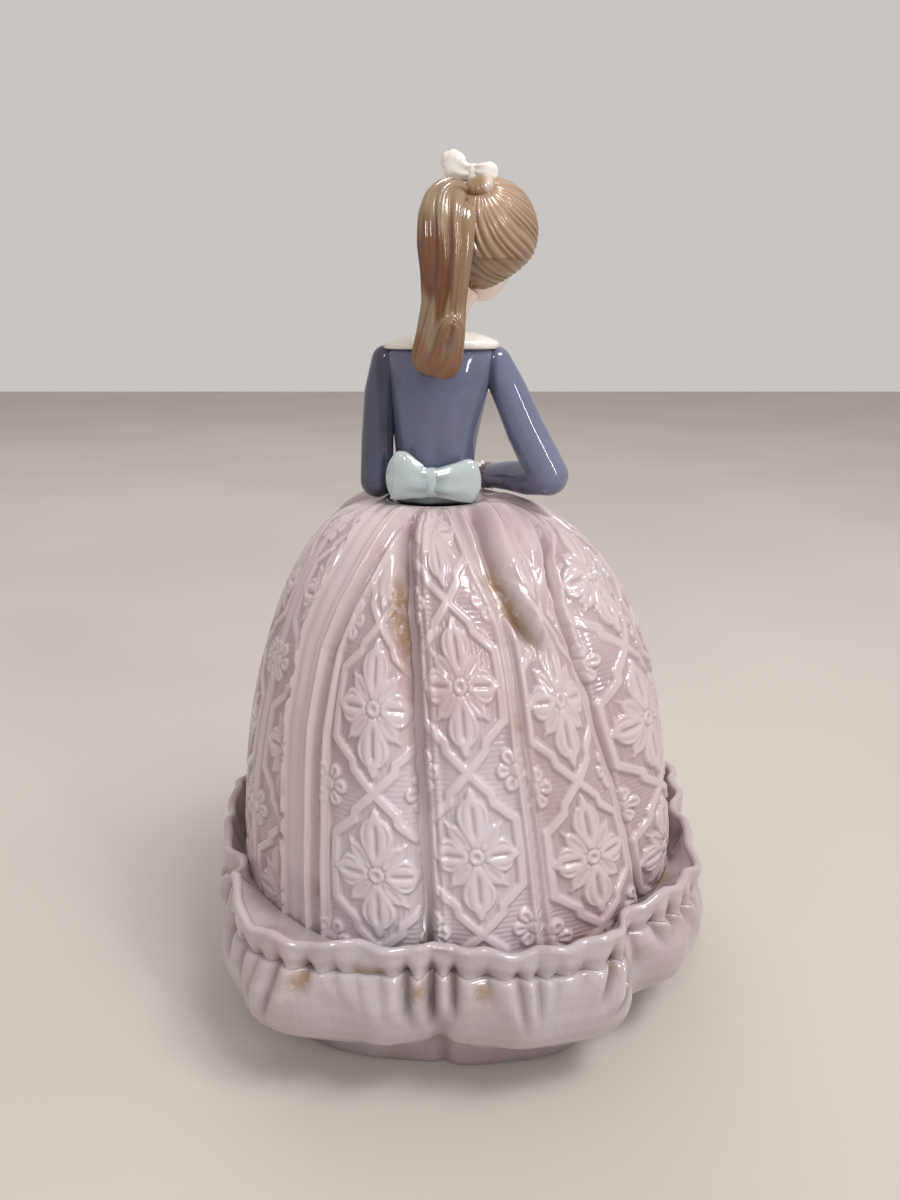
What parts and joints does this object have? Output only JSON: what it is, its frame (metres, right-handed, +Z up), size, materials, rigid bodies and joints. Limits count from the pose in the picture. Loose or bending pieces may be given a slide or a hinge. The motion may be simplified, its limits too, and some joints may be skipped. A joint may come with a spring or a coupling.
{
  "type": "porcelain figurine",
  "caption": "Glazed porcelain figurine of a standing girl in a wide embossed ball gown with a flounced hem, ponytail and ribbon bows, hollow cast, resting on a flat foot.",
  "frame": {"origin": "centre of the foot in plan, on the surface that it stands on", "axes": "+Z up; the girl faces -Y, so her back is towards +Y and her left hand towards +X"},
  "size_m": [0.1597, 0.1588, 0.2603],
  "materials": {
    "gown_lilac": "glossy clear glaze over a pale lilac wash",
    "gown_pink": "clear glaze over a pale pink wash, matter at the top and glossy below",
    "biscuit": "unglazed matt biscuit porcelain",
    "ribbon_green": "glossy clear glaze over a pale grey-green underglaze",
    "bodice_blue": "glossy clear glaze over a grey-blue underglaze",
    "white": "glossy clear glaze over white porcelain",
    "skin": "glossy clear glaze over a faint flesh tint",
    "hair": "glossy clear glaze over brown underglaze brushed along the strands",
    "cuff_brown": "glossy clear glaze over a brown underglaze"
  },
  "bodies": {
    "root": {"foot": "gown_lilac", "base_plate": "biscuit", "flounce": "gown_lilac", "frill": "gown_lilac", "skirt": "gown_pink", "waist_sash": "ribbon_green", "sash_bow_left_loop": "ribbon_green", "sash_bow_right_loop": "ribbon_green", "sash_bow_knot": "ribbon_green", "bodice": "bodice_blue", "collar": "white", "neck": "skin", "head": "skin", "hair_cap": "hair", "hair_tie": "hair", "ponytail": "hair", "ponytail_curl": "hair", "hair_bow_left_loop": "white", "hair_bow_right_loop": "white", "hair_bow_knot": "white", "left_sleeve": "bodice_blue", "right_sleeve": "bodice_blue", "left_cuff": "cuff_brown", "right_cuff": "cuff_brown", "left_cuff_frill": "white", "right_cuff_frill": "white", "left_hand": "skin", "right_hand": "skin"}
  },
  "joints": []
}
